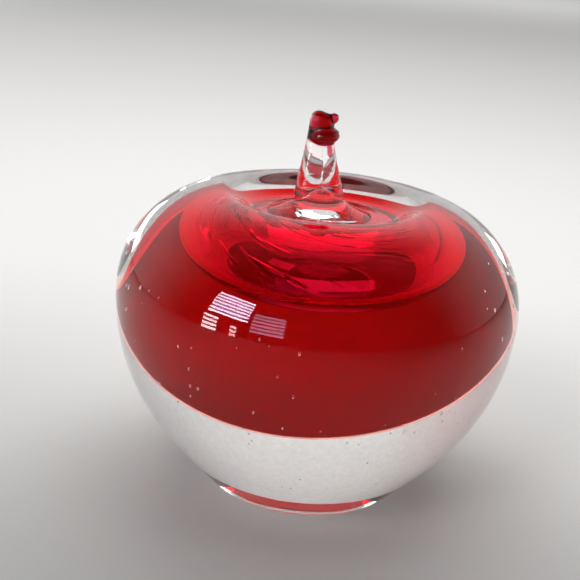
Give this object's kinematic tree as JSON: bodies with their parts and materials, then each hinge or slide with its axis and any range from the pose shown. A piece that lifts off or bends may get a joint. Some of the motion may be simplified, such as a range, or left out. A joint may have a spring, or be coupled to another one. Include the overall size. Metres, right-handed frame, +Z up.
{
  "type": "art glass apple",
  "caption": "Glass apple paperweight: hollow clear core under a ruby layer, opal white lower band, thick clear casing and a pulled clear stem with a ruby tip.",
  "frame": {"origin": "middle of the ground foot, on the surface that the apple stands on", "axes": "+Z up through the dimple, +X to the right and +Y away from the side that is seen from the front"},
  "size_m": [0.115, 0.115, 0.108],
  "materials": {
    "clear_glass": "polished, clear",
    "ruby_glass": "polished, transparent ruby red",
    "opal_glass": "opaque white, crushed-glass frit"
  },
  "bodies": {
    "root": {"clear_casing": "clear_glass", "clear_core": "clear_glass", "clear_stem": "clear_glass", "opal_band": "opal_glass", "ruby_layer": "ruby_glass", "ruby_stem_tip": "ruby_glass"}
  },
  "joints": []
}
